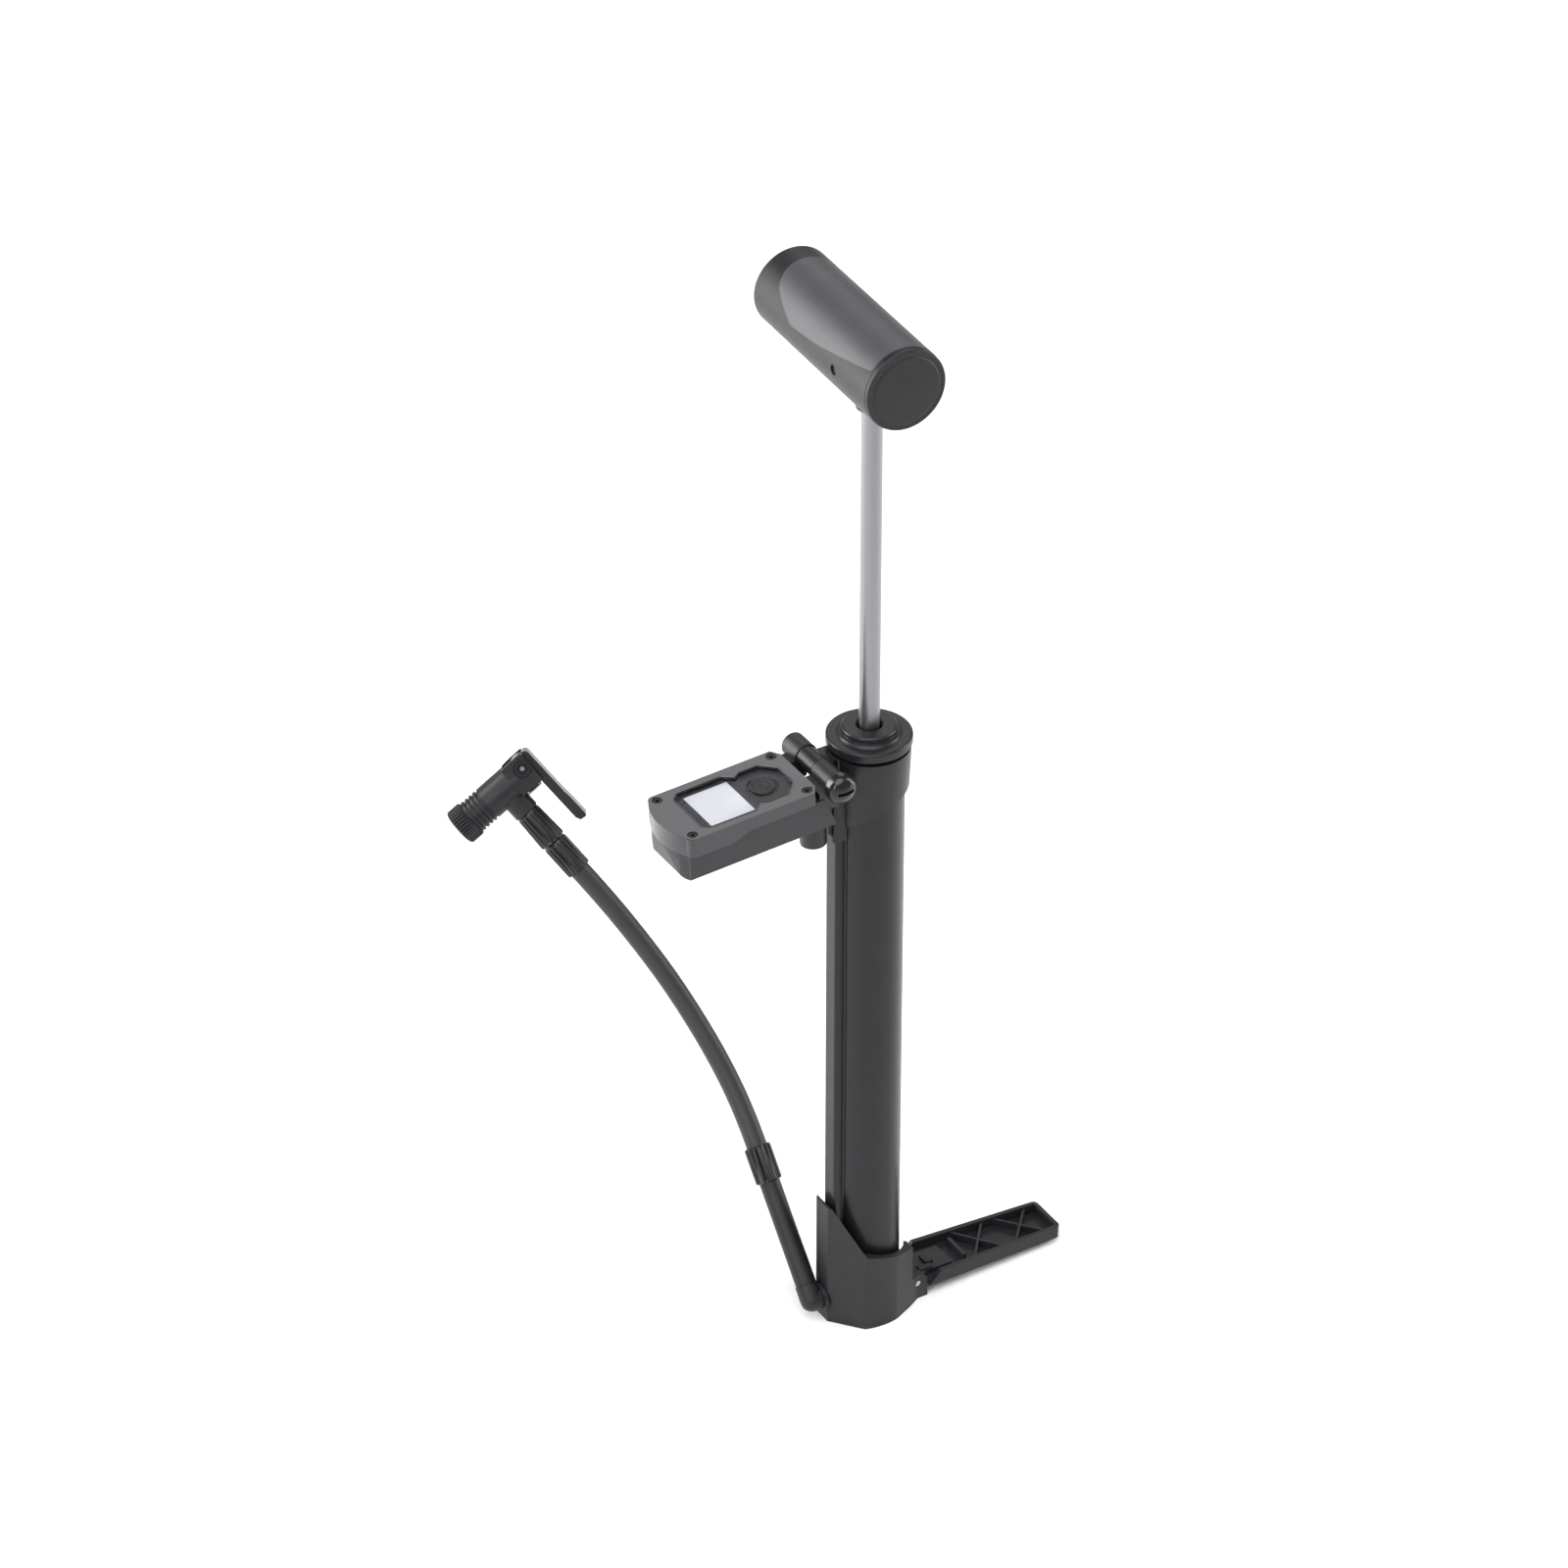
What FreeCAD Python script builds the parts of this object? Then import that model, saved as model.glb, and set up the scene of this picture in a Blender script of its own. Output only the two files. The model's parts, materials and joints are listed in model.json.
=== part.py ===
import FreeCAD, Part
import math
import os
import Sketcher
from FreeCAD import Placement, Rotation, Vector

# Portable bicycle floor pump: a slim barrel with a T handle, a fold-out foot pedal, a digital gauge
# on a hinge, and a hose with a lever-lock valve head.
#
# Frame: +Z up along the barrel's axis, origin on that axis at the base's underside.
# +X points to the foot pedal, -X to the air lug, the gauge and the hose. The handle lies along Y.
# Lengths are millimetres and angles are degrees.

SIZES = (
    # barrel and air lug
    ("barrel_radius", 13.7),
    ("bore_radius", 12.2),
    ("barrel_bottom", 18.0),
    ("barrel_top", 266.8),
    ("lug_reach", 16.6),
    ("lug_half_width", 4.0),
    ("channel_radius", 1.1),
    ("channel_offset", 14.6),
    # head of the barrel
    ("head_top", 272.0),
    ("flange_radius", 16.5),
    ("flange_thickness", 4.0),
    ("boss_radius", 10.65),
    ("boss_height", 3.5),
    # rod and piston
    ("rod_radius", 4.0),
    ("piston_bottom", 129.0),
    ("piston_length", 14.0),
    # handle
    ("pin_height", 432.7),
    ("handle_radius", 16.2),
    ("handle_long", 61.4),
    ("handle_short", 25.7),
    ("handle_turn", -2.8),
    ("handle_slot", 6.5),
    ("handle_pin_radius", 2.0),
    ("eye_radius", 6.2),
    # base and pedal
    ("base_floor", 5.0),
    ("pedal_pin_x", 18.6),
    ("pedal_pin_z", 7.2),
    ("pedal_droop", 2.0),
    ("pedal_length", 68.5),
    ("pedal_root_half", 11.8),
    ("pedal_tip_half", 9.6),
    ("pedal_top", 3.5),
    ("pedal_bottom", -2.0),
    ("pedal_wall", 1.8),
    # gauge and its hinge
    ("hinge_x", -22.6),
    ("hinge_z", 264.0),
    ("gauge_droop", -3.0),
    ("gauge_rear", -8.5),
    ("gauge_corner", -64.5),
    ("gauge_front", -68.6),
    ("gauge_half", 16.4),
    ("gauge_top", 1.9),
    ("gauge_bottom", -17.5),
    # swivel elbow, hose and valve head
    ("elbow_z", 9.6),
    ("elbow_x", -24.4),
    ("elbow_turn", -40.7),
    ("hose_radius", 4.2),
    ("coupler_start", 59.4),
    ("coupler_end", 74.4),
    ("valve_head_turn", -29.5),
    ("head_axis", 43.9),
    ("head_radius", 7.1),
    ("lever_pin_x", 11.0),
    ("lever_pin_z", 45.9),
)

RUNNING = 0.05  # radial play of a shaft in its bearing
SEAT = 0.04  # radial play of a seated or screwed fit


class Length:
    """A dimension that knows its value and the expression that drives it from the sheet."""

    def __init__(self, value, text):
        self.value = value
        self.text = text

    def __add__(self, other):
        other = as_length(other)
        return Length(self.value + other.value, f"({self.text} + {other.text})")

    def __sub__(self, other):
        other = as_length(other)
        return Length(self.value - other.value, f"({self.text} - {other.text})")

    def __mul__(self, other):
        other = as_length(other)
        return Length(self.value * other.value, f"({self.text} * {other.text})")

    def __neg__(self):
        return Length(-self.value, f"(0 - {self.text})")

    def __radd__(self, other):
        return as_length(other) + self

    def __rsub__(self, other):
        return as_length(other) - self

    __rmul__ = __mul__


def as_length(number):
    """A plain number as a Length whose expression is the number itself."""
    if isinstance(number, Length):
        return number
    return Length(float(number), f"({float(number):.6g})")


doc = FreeCAD.newDocument("floor_pump")
sheet = doc.addObject("Spreadsheet::Sheet", "Sizes")
sheet.Label = "Sizes"
size = {}
for row, (alias, number) in enumerate(SIZES, start=1):
    sheet.set(f"A{row}", alias)
    sheet.set(f"B{row}", str(number))
    sheet.setAlias(f"B{row}", alias)
    size[alias] = Length(number, f"Sizes.{alias}")
doc.recompute()

nodes = []


# ---------------------------------------------------------------- helpers


def bind(thing, prop, length):
    """Sets a property and ties it to the sheet."""
    length = as_length(length)
    if "." not in prop:
        setattr(thing, prop, length.value)
    thing.setExpression(prop, length.text)


def put(thing, at):
    """Moves a feature to a point whose coordinates come from the sheet."""
    for letter, coordinate in zip("xyz", at):
        thing.setExpression(f"Placement.Base.{letter}", as_length(coordinate).text)
    return thing


TURNS = {
    "Z": Rotation(),
    "X": Rotation(Vector(0, 1, 0), 90),
    "Y": Rotation(Vector(1, 0, 0), -90),
}


def cylinder(name, radius, height, at=(0, 0, 0), axis="Z"):
    """A cylinder that grows from a point along +X, +Y or +Z."""
    thing = doc.addObject("Part::Cylinder", name)
    thing.Placement = Placement(Vector(), TURNS[axis])
    bind(thing, "Radius", radius)
    bind(thing, "Height", height)
    return put(thing, at)


def box(name, low, high):
    """A box from its low corner to its high corner."""
    thing = doc.addObject("Part::Box", name)
    spans = [as_length(high[i]) - low[i] for i in range(3)]
    bind(thing, "Length", spans[0])
    bind(thing, "Width", spans[1])
    bind(thing, "Height", spans[2])
    return put(thing, low)


def ball(name, radius, at):
    """A whole sphere."""
    thing = doc.addObject("Part::Sphere", name)
    bind(thing, "Radius", radius)
    return put(thing, at)


def ring(name, ring_radius, section_radius, at, axis="Z"):
    """An O-ring: its centre circle lies square to the axis."""
    thing = doc.addObject("Part::Torus", name)
    thing.Placement = Placement(Vector(), TURNS[axis])
    bind(thing, "Radius1", ring_radius)
    bind(thing, "Radius2", section_radius)
    return put(thing, at)


def join(name, *things):
    """The union of several features."""
    thing = doc.addObject("Part::MultiFuse", name)
    thing.Shapes = list(things)
    return thing


def cut(name, base, *tools):
    """The base with every tool taken away from it."""
    thing = doc.addObject("Part::Cut", name)
    thing.Base = base
    thing.Tool = tools[0] if len(tools) == 1 else join(name + "_tools", *tools)
    return thing


def common(name, first, second):
    """What two features share."""
    thing = doc.addObject("Part::MultiCommon", name)
    thing.Shapes = [first, second]
    return thing


def group(name, *things):
    """Separate solids kept as one node."""
    thing = doc.addObject("Part::Compound", name)
    thing.Links = list(things)
    return thing


def counter_clockwise(start, middle, end):
    """The arc through three points, always counter-clockwise, and whether that is start to end."""
    centre = Part.Arc(start, middle, end).toShape().Curve.Center
    forward = (middle - start).cross(end - middle).z > 0
    first, last = (start, end) if forward else (end, start)
    low = math.atan2(first.y - centre.y, first.x - centre.x)
    high = math.atan2(last.y - centre.y, last.x - centre.x)
    if high < low:
        high += 2 * math.pi
    circle = Part.Circle(centre, Vector(0, 0, 1), (start - centre).Length)
    return Part.ArcOfCircle(circle, low, high), forward


def outline(body, name, plane, points, offset=0.0):
    """A closed sketch on one of a body's own planes.

    A point is (u, v), reached by a line, or (u, v, mid_u, mid_v), reached by an arc through mid.
    Every corner is held by two distances that the sheet drives.
    """
    sketch = body.newObject("Sketcher::SketchObject", name)
    support = [part for part in body.Origin.OriginFeatures if part.Role == plane][0]
    sketch.AttachmentSupport = [(support, "")]
    sketch.MapMode = "FlatFace"
    sketch.AttachmentOffset = Placement(Vector(0, 0, offset), Rotation())
    corners = [[as_length(value) for value in point] for point in points]
    ends = []
    for index, corner in enumerate(corners):
        before = corners[index - 1]
        start = Vector(before[0].value, before[1].value, 0)
        end = Vector(corner[0].value, corner[1].value, 0)
        if len(corner) == 4:
            middle = Vector(corner[2].value, corner[3].value, 0)
            curve, forward = counter_clockwise(start, middle, end)
            sketch.addGeometry(curve, False)
            ends.append((1, 2) if forward else (2, 1))
        else:
            sketch.addGeometry(Part.LineSegment(start, end), False)
            ends.append((1, 2))
    for index, corner in enumerate(corners):
        following = (index + 1) % len(corners)
        last = ends[index][1]
        first = ends[following][0]
        sketch.addConstraint(Sketcher.Constraint("Coincident", index, last, following, first))
        for kind, value in (("DistanceX", corner[0]), ("DistanceY", corner[1])):
            rule = Sketcher.Constraint(kind, -1, 1, index, last, value.value)
            number = sketch.addConstraint(rule)
            sketch.setExpression(f"Constraints[{number}]", value.text)
        if len(corner) == 4:
            radius = sketch.Geometry[index].Radius
            sketch.addConstraint(Sketcher.Constraint("Radius", index, radius))
    return sketch


def turned(name, points):
    """A turned piece: its half profile (radius, height) swept round Z."""
    body = doc.addObject("PartDesign::Body", name)
    profile = outline(body, name + "_profile", "XZ_Plane", points)
    feature = body.newObject("PartDesign::Revolution", name + "_turn")
    feature.Profile = profile
    feature.ReferenceAxis = (profile, ["V_Axis"])
    feature.Angle = 360.0
    return body


def plate(name, plane, points, thickness, start=0.0):
    """A padded outline: from start, along the plane's normal (+Z, -Y or +X)."""
    body = doc.addObject("PartDesign::Body", name)
    profile = outline(body, name + "_outline", plane, points, start)
    feature = body.newObject("PartDesign::Pad", name + "_pad")
    feature.Profile = profile
    bind(feature, "Length", thickness)
    return body


def coil(name, radius, wire, low, high, turns, x):
    """A helical compression spring standing on Z at the given x."""
    height = high - low
    path = Part.Wire(Part.makeHelix(height / turns, height, radius).Edges)
    section = Part.Wire(Part.makeCircle(wire, Vector(radius, 0, 0), Vector(0, 1, 0.08)))
    thing = doc.addObject("Part::Feature", name)
    thing.Shape = path.makePipeShell([section], True, True)
    thing.Placement = Placement(Vector(x, 0, low), Rotation())
    return thing


def keep(node, thing, *places):
    """Labels a finished piece as a node and sets it in its group's place."""
    if any("Placement" in path for path, _ in thing.ExpressionEngine):
        primitive = thing
        primitive.Label = node + "_solid"
        thing = doc.addObject("Part::Refine", node + "_placed")
        thing.Source = primitive
    thing.Label = node
    place = Placement()
    for step in places:
        place = place.multiply(step)
    thing.Placement = place.multiply(thing.Placement)
    nodes.append(thing)


def lift(x, z, axis, angle):
    """A group's place: a point in the XZ plane and one turn."""
    return Placement(Vector(x, 0, z), Rotation(axis, angle))


X_AXIS = Vector(1, 0, 0)
Y_AXIS = Vector(0, 1, 0)
Z_AXIS = Vector(0, 0, 1)


def plain(alias):
    """A size's number, for places and for shapes made without the sheet."""
    return size[alias].value


HANDLE = lift(0, plain("pin_height"), Z_AXIS, plain("handle_turn"))
GAUGE = lift(plain("hinge_x"), plain("hinge_z"), Y_AXIS, plain("gauge_droop"))
PEDAL = lift(plain("pedal_pin_x"), plain("pedal_pin_z"), Y_AXIS, plain("pedal_droop"))
# the elbow is turned about X; its group is drawn upright and leans with the elbow
SWIVEL = lift(0, plain("elbow_z"), X_AXIS, plain("elbow_turn")).multiply(
    Placement(Vector(0, 0, -plain("elbow_z")), Rotation())
)
# the hose's route in the elbow's own upright plane, from the coupler to the valve head
HOSE_POINTS = (
    (plain("elbow_x"), plain("coupler_end")),
    (-24.4, 91.0),
    (-28.1, 117.5),
    (-35.2, 146.4),
    (-43.0, 169.0),
    (-50.6, 188.0),
    (-56.5, 200.8),
)
HOSE_LEAN = math.degrees(
    math.atan2(HOSE_POINTS[-1][0] - HOSE_POINTS[-2][0], HOSE_POINTS[-1][1] - HOSE_POINTS[-2][1])
)
HOSE_END = lift(*HOSE_POINTS[-1], Y_AXIS, HOSE_LEAN)
HEAD_TURN = Placement(Vector(), Rotation(Z_AXIS, plain("valve_head_turn")))


# ---------------------------------------------------------------- barrel and its ends


def make_barrel():
    low = size["barrel_bottom"]
    height = size["barrel_top"] - low
    reach = -size["lug_reach"]
    half = size["lug_half_width"]
    corner = 1.3
    lug = plate(
        "lug",
        "XY_Plane",
        [
            (-12.8, -half),
            (reach + corner, -half),
            (reach, corner - half, reach + corner * 0.29, corner * 0.29 - half),
            (reach, half - corner),
            (reach + corner, half, reach + corner * 0.29, half - corner * 0.29),
            (-12.8, half),
        ],
        height,
        start=low.value,
    )
    tube = cylinder("barrel_tube", size["barrel_radius"], height, (0, 0, low))
    shoulders = [
        cylinder(f"lug_groove_{side}", 0.8, height, (-13.1, side * 4.75, low))
        for side in (-1, 1)
    ]
    bore = cylinder("barrel_bore", size["bore_radius"], height, (0, 0, low))
    channel = cylinder(
        "lug_channel", size["channel_radius"], height, (-size["channel_offset"], 0, low)
    )
    keep("barrel", cut("barrel", join("barrel_stock", tube, lug), bore, channel, *shoulders))


def make_valve_block():
    low = size["base_floor"]
    neck = size["barrel_bottom"]
    top = 30.0
    socket_z = size["elbow_z"]
    stock = join(
        "block_stock",
        cylinder("block_body", 13.0, neck - low, (0, 0, low)),
        cylinder("block_spigot", size["bore_radius"] - RUNNING, top - neck, (0, 0, neck)),
        box("block_arm", (-17.0, -5.0, low), (-10.0, 5.0, neck)),
    )
    seal_groove = turned(
        "seal_groove", [(10.85, 24.2), (13.5, 24.2), (13.5, 25.8), (10.85, 25.8)]
    )
    holes = [
        cylinder("valve_chamber", 3.0, 17.6, (0, 0, 8.4)),
        cylinder("valve_seat", 1.6, 5.0, (0, 0, 25.9)),
        cylinder("elbow_socket", 3.6, 9.1, (-17.1, 0, socket_z), "X"),
        cylinder("clip_groove", 4.3, 1.0, (-10.2, 0, socket_z), "X"),
        cylinder("cross_bore", 1.2, 8.2, (-8.2, 0, socket_z), "X"),
        cylinder("gauge_drilling", size["channel_radius"], 9.0, (-size["channel_offset"], 0, socket_z)),
        seal_groove,
    ]
    for side in (-1, 1):
        holes.append(cylinder(f"block_thread_{side}", 1.25, 9.0, (7.0, side * 6.5, 4.0)))
    keep("valve_block", cut("valve_block", stock, *holes))
    keep("valve_block_seal", ring("valve_block_seal", 11.54, 0.62, (0, 0, 25.0)))
    keep("check_valve_ball", ball("check_valve_ball", 2.3, (0, 0, 24.32)))
    keep("check_valve_spring", coil("check_valve_spring", 2.0, 0.3, 8.8, 21.6, 9, 0.0))


def make_top_cap():
    top = size["head_top"]
    under = top - size["flange_thickness"]
    flange = size["flange_radius"]
    boss = size["boss_radius"]
    peak = top + size["boss_height"]
    plug = size["bore_radius"] - RUNNING
    edge = 0.8
    cap = turned(
        "top_cap",
        [
            (6.0, 250.0),
            (plug, 250.0),
            (plug, size["barrel_top"]),
            (13.4, size["barrel_top"]),
            (13.4, under),
            (flange - edge, under),
            (flange, under + edge, flange - edge * 0.29, under + edge * 0.29),
            (flange, top - edge),
            (flange - edge, top, flange - edge * 0.29, top - edge * 0.29),
            (12.4, top),
            (11.6, top + 1.0),
            (boss, top + 1.0),
            (boss, peak - 0.6),
            (boss - 0.6, peak),
            (5.2, peak),
            (4.6, peak - 0.6),
            (4.6, 266.0),
            (6.0, 266.0),
        ],
    )
    keep("top_cap", cap)
    bush = turned(
        "rod_bush",
        [
            (size["rod_radius"] + 0.07, 250.4),
            (6.0 - SEAT, 250.4),
            (6.0 - SEAT, 262.0),
            (size["rod_radius"] + 0.07, 262.0),
        ],
    )
    keep("rod_bush", bush)
    keep("rod_wiper", ring("rod_wiper", 4.78, 0.7, (0, 0, 263.2)))


def make_bracket():
    barrel = size["barrel_radius"] + SEAT
    top = 266.4
    collar = turned(
        "collar", [(barrel, 226.0), (14.3, 226.0), (15.9, 262.5), (15.9, top), (barrel, top)]
    )
    # the collar is deep on the lug's side and shallow on the pedal's side
    keep_above = plate(
        "collar_side",
        "XZ_Plane",
        [(-20.0, top + 1), (-20.0, 230.0), (20.0, 250.6, -4.0, 243.6), (20.0, top + 1)],
        44.0,
        start=-22.0,
    )
    tongue = plate(
        "tongue",
        "XY_Plane",
        [
            (-12.9, -5.6),
            (-16.8, -5.6),
            (-18.6, -3.8, -18.1, -5.1),
            (-18.6, 3.8),
            (-16.8, 5.6, -18.1, 5.1),
            (-12.9, 5.6),
        ],
        27.5,
        start=230.5,
    )
    lug_slot = box(
        "lug_slot",
        (-size["lug_reach"] - SEAT, -size["lug_half_width"] - SEAT, 220.0),
        (0.0, size["lug_half_width"] + SEAT, top + 2),
    )
    hinge = (size["hinge_x"], -1.9, size["hinge_z"])
    knuckle = cylinder("bracket_knuckle", 4.4, 9.8, hinge, "Y")
    arm = box("bracket_arm", (size["hinge_x"], -1.9, 259.8), (-12.0, 7.9, top - 0.4))
    rise = box("bracket_rise", (-18.6, -1.9, 255.0), (-12.0, 5.6, 262.0))
    bolt_hole = cylinder("bracket_bolt_hole", 1.95, 14.0, (size["hinge_x"], -4.0, size["hinge_z"]), "Y")
    air_hole = cylinder("bracket_air_hole", 0.9, 7.0, (size["hinge_x"], 3.0, size["hinge_z"]), "X")
    bore = cylinder("collar_bore", barrel, 60.0, (0, 0, 220.0))
    stock = join("bracket_stock", common("collar_cut", collar, keep_above), tongue, knuckle, arm, rise)
    keep("gauge_bracket", cut("gauge_bracket", stock, bore, lug_slot, bolt_hole, air_hole))
    washers = []
    for index, low in enumerate((-2.35, 7.95)):
        disc = cylinder(f"washer_disc_{index}", 4.2, 0.4, (size["hinge_x"], low, size["hinge_z"]), "Y")
        hole = cylinder(f"washer_hole_{index}", 2.0, 0.4, (size["hinge_x"], low, size["hinge_z"]), "Y")
        washers.append(cut(f"washer_{index}", disc, hole))
    keep("hinge_washers", group("hinge_washers", *washers))


# ---------------------------------------------------------------- base and foot pedal


def make_base():
    pin_x = size["pedal_pin_x"]
    pin_z = size["pedal_pin_z"]
    ear = 4.6
    plan = plate(
        "base_plan",
        "XY_Plane",
        [
            (-19.75, -4.3),
            (-9.6, -16.5),
            (5.0, -17.2, -2.5, -17.9),
            (13.5, -13.4),
            (pin_x, -10.6),
            (pin_x + ear, -10.6),
            (pin_x + ear, 10.6),
            (pin_x, 10.6),
            (13.5, 13.4),
            (5.0, 17.2),
            (-9.6, 16.5, -2.5, 17.9),
            (-19.75, 4.3),
        ],
        60.0,
    )
    side = plate(
        "base_side",
        "XZ_Plane",
        [
            (-22.0, -1.0),
            (-22.0, 56.5),
            (-18.6, 56.5),
            (-9.6, 36.8),
            (-7.0, 35.2, -8.6, 35.6),
            (14.8, 28.6),
            (14.8, pin_z + ear + 0.6),
            (pin_x, pin_z + ear),
            (pin_x + ear, pin_z, pin_x + ear * 0.7071, pin_z + ear * 0.7071),
            (pin_x + ear, -1.0),
        ],
        44.0,
        start=-22.0,
    )
    shell = common("base_stock", plan, side)
    half = 7.6
    hollows = [
        cylinder("base_well", 13.75, 60.0, (0, 0, size["base_floor"])),
        cylinder("base_rim_gap", 15.4, 60.0, (0, 0, 21.0)),
        box("base_lug_well", (-17.3, -5.3, size["base_floor"]), (0.0, 5.3, 62.0)),
        box("knuckle_pocket", (13.9, -half, 2.0), (30.0, half, 30.0)),
        cylinder("elbow_way", 3.75, 6.0, (-21.0, 0, size["elbow_z"]), "X"),
        cylinder("pedal_pin_hole", 1.5, 24.0, (pin_x, -12.0, pin_z), "Y"),
    ]
    for sign in (-1, 1):
        hollows.append(cylinder(f"screw_way_{sign}", 1.5, 8.0, (7.0, sign * 6.5, -1.0)))
        hollows.append(cylinder(f"screw_head_well_{sign}", 2.9, 4.0, (7.0, sign * 6.5, -1.0)))
    keep("base_housing", cut("base_housing", shell, *hollows))
    screws = []
    for sign in (-1, 1):
        spot = (7.0, sign * 6.5)
        head = cylinder(f"base_screw_head_{sign}", 2.6, 1.7, (*spot, 1.3))
        shank = cylinder(f"base_screw_shank_{sign}", 1.2, 9.0, (*spot, 3.0))
        socket = cylinder(f"base_screw_socket_{sign}", 1.2, 1.0, (*spot, 1.3))
        screws.append(cut(f"base_screw_{sign}", join(f"base_screw_stock_{sign}", head, shank), socket))
    keep("base_screws", group("base_screws", *screws))
    keep("pedal_pin", cylinder("pedal_pin", 1.5 - 0.02, 20.6, (pin_x, -10.3, pin_z), "Y"))


def pedal_rib(name, start, end, low, high):
    """A thin upright rib between two points of the pedal's plan."""
    along = Vector(end[0] - start[0], end[1] - start[1], 0)
    thing = doc.addObject("Part::Box", name)
    thing.Length = along.Length
    thing.Width = 1.0
    bind(thing, "Height", high - low)
    turn = Rotation(X_AXIS, along)
    thing.Placement = Placement(
        Vector(start[0], start[1], low.value) + turn.multVec(Vector(0, -0.5, 0)), turn
    )
    return thing


def make_pedal():
    tip = size["pedal_length"]
    root = 5.2
    root_half = size["pedal_root_half"]
    tip_half = size["pedal_tip_half"]
    low = size["pedal_bottom"]
    top = size["pedal_top"]
    wall = size["pedal_wall"]
    curve = 2.2
    tray = plate(
        "pedal_tray",
        "XY_Plane",
        [
            (root, -root_half),
            (tip - curve, -tip_half),
            (tip, curve - tip_half, tip - curve * 0.29, curve * 0.29 - tip_half),
            (tip, tip_half - curve),
            (tip - curve, tip_half, tip - curve * 0.29, tip_half - curve * 0.29),
            (root, root_half),
        ],
        top - low,
        start=low.value,
    )
    floor = low + 1.3
    well = plate(
        "pedal_well",
        "XY_Plane",
        [
            (-2.0, wall - root_half),
            (tip - wall, wall - tip_half),
            (tip - wall, tip_half - wall),
            (-2.0, root_half - wall),
        ],
        6.0,
        start=floor.value,
    )
    # the side walls start with a slant, low at the hinge
    slant = plate(
        "pedal_slant",
        "XZ_Plane",
        [(-3.0, -3.0), (root, -3.0), (root, -1.4), (10.8, 4.0), (-3.0, 4.0)],
        30.0,
        start=-15.0,
    )
    knuckle = cylinder("pedal_knuckle", 4.2, 14.6, (0, -7.3, 0), "Y")
    neck = box("pedal_neck", (0, -7.3, low), (6.0, 7.3, 1.6))
    platform = box("pedal_platform", (5.0, -6.0, floor - 0.3), (19.0, 6.0, 1.4))
    catch = box("pedal_catch", (8.5, -2.6, floor), (12.0, 2.6, 2.6))
    stub = cylinder("pedal_stub", 1.3, 6.0, (3.8, -4.3, 1.6), "X")
    bar = box("pedal_bar", (24.0, -6.2, floor - 0.3), (25.6, 6.2, 3.0))
    ribs = []
    for index, (near, far) in enumerate(((27.5, 42.5), (47.5, 62.5))):
        reach = 9.3 if index == 0 else 8.6
        ribs.append(pedal_rib(f"rib_{index}_a", (near, -reach), (far, reach), floor - 0.3, as_length(2.7)))
        ribs.append(pedal_rib(f"rib_{index}_b", (near, reach), (far, -reach), floor - 0.3, as_length(2.7)))
    hole = cylinder("pedal_bore", 1.5 + RUNNING - 0.02, 20.0, (0, -10.0, 0), "Y")
    walls = cut("pedal_walls", tray, well, slant)
    stock = join("pedal_stock", walls, knuckle, neck, platform, catch, stub, bar, *ribs)
    keep("foot_pedal", cut("foot_pedal", stock, hole), PEDAL)


# ---------------------------------------------------------------- rod, piston and handle


def make_rod():
    low = size["piston_bottom"]
    high = low + size["piston_length"]
    rod = size["rod_radius"]
    pin = size["pin_height"]
    outer = size["bore_radius"] - 0.3
    piston = turned(
        "piston",
        [
            (2.2, low),
            (outer, low),
            (outer, low + 5.6),
            (10.4, low + 5.6),
            (10.4, low + 7.4),
            (outer, low + 7.4),
            (outer, high - 2.0),
            (outer - 2.0, high),
            (rod + SEAT, high),
            (rod + SEAT, low + 3.0),
            (2.2, low + 3.0),
        ],
    )
    keep("piston", piston)
    keep("piston_seal", ring("piston_seal", 11.3, 0.85, (0, 0, low + 6.5)))
    head = cylinder("piston_screw_head", 3.6, 1.9, (0, 0, low - 1.9))
    shank = cylinder("piston_screw_shank", 2.0, 14.0, (0, 0, low))
    keep("piston_screw", join("piston_screw", head, shank))
    tube = cylinder("rod_tube", rod, pin - 9.0 - (low + 3.0), (0, 0, low + 3.0))
    rod_bore = cylinder("rod_bore", 2.1, pin - 9.0 - (low + 3.0), (0, 0, low + 3.0))
    keep("pump_rod", cut("pump_rod", tube, rod_bore))
    eye = size["eye_radius"]
    bottom = pin - size["handle_radius"] - 3.0
    shank_end = cylinder("eye_shank", eye, pin - bottom, (0, 0, bottom))
    dome = ball("eye_dome", eye, (0, 0, pin))
    socket = cylinder("eye_socket", rod + SEAT, pin - 8.9 - bottom, (0, 0, bottom))
    pin_hole = cylinder(
        "eye_pin_hole", size["handle_pin_radius"] + RUNNING, 16.0, (-8.0, 0, pin), "X"
    )
    finished = cut("rod_end", join("rod_end_stock", shank_end, dome), socket, pin_hole)
    keep("rod_end", finished, lift(0, 0, Z_AXIS, plain("handle_turn")))


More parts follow.
